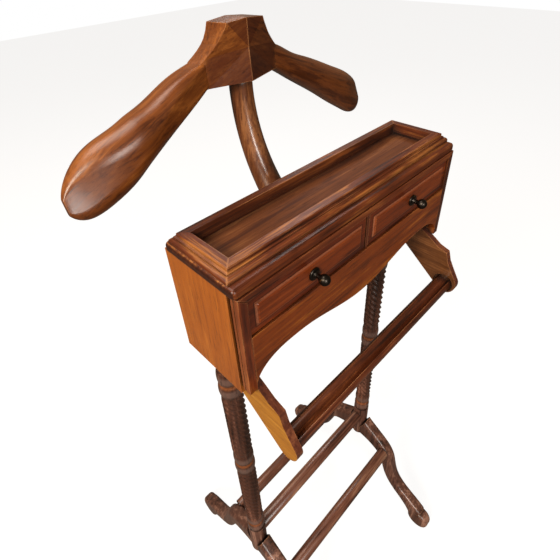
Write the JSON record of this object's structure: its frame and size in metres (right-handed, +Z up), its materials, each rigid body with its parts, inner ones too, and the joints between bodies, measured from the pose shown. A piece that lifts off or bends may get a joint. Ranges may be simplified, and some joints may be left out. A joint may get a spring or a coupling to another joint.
{
  "type": "valet stand",
  "caption": "Wooden valet stand with a shaped coat hanger, a case with drawers and a tray, a trouser bar and a turned base.",
  "frame": {"origin": "on the floor, midway between the columns", "axes": "+Z up, -Y is the front, +X runs along the case to the right"},
  "size_m": [0.512, 0.453, 1.18],
  "materials": {
    "hanger_wood": "satin varnished mahogany",
    "panel_wood": "satin varnished mahogany, warm orange brown",
    "bracket_wood": "satin varnished mahogany, golden",
    "tray_wood": "satin varnished mahogany",
    "front_wood": "satin varnished mahogany, reddish",
    "turned_wood": "satin varnished mahogany, dark",
    "bar_wood": "satin varnished mahogany",
    "inner_wood": "plain planed wood",
    "bronze": "dark patinated bronze",
    "steel": "plain"
  },
  "bodies": {
    "stand": {"apron": "front_wood", "back_panel": "inner_wood", "bracket_left": "bracket_wood", "bracket_right": "bracket_wood", "bracket_screws": "steel", "cap_board": "tray_wood", "column_left": "turned_wood", "column_right": "turned_wood", "drawer_board": "inner_wood", "drawer_divider": "front_wood", "hanger_dowels": "inner_wood", "hanger_half_left": "hanger_wood", "hanger_half_right": "hanger_wood", "hub_left": "turned_wood", "hub_right": "turned_wood", "leg_back_left": "turned_wood", "leg_back_right": "turned_wood", "leg_front_left": "turned_wood", "leg_front_right": "turned_wood", "neck": "hanger_wood", "neck_screws": "steel", "rail_back": "turned_wood", "rail_centre": "turned_wood", "rail_front": "turned_wood", "side_panel_left": "panel_wood", "side_panel_right": "panel_wood", "stile_left": "front_wood", "stile_right": "front_wood", "top_board": "tray_wood", "top_rail": "front_wood", "tray_floor": "tray_wood", "tray_moulding_back": "tray_wood", "tray_moulding_front": "tray_wood", "tray_moulding_left": "tray_wood", "tray_moulding_right": "tray_wood", "trouser_bar": "bar_wood"},
    "drawer_left": {"drawer_back_left": "inner_wood", "drawer_bottom_left": "inner_wood", "drawer_front_left": "front_wood", "drawer_sides_left": "inner_wood", "knob_left": "bronze", "knob_screw_left": "steel"},
    "drawer_right": {"drawer_back_right": "inner_wood", "drawer_bottom_right": "inner_wood", "drawer_front_right": "front_wood", "drawer_sides_right": "inner_wood", "knob_right": "bronze", "knob_screw_right": "steel"}
  },
  "joints": [
    {"name": "drawer_left_slide", "type": "slide", "parent": "stand", "child": "drawer_left", "axis": [0, -1, 0], "range_m": [0, 0.075]},
    {"name": "drawer_right_slide", "type": "slide", "parent": "stand", "child": "drawer_right", "axis": [0, -1, 0], "range_m": [0, 0.075]}
  ]
}
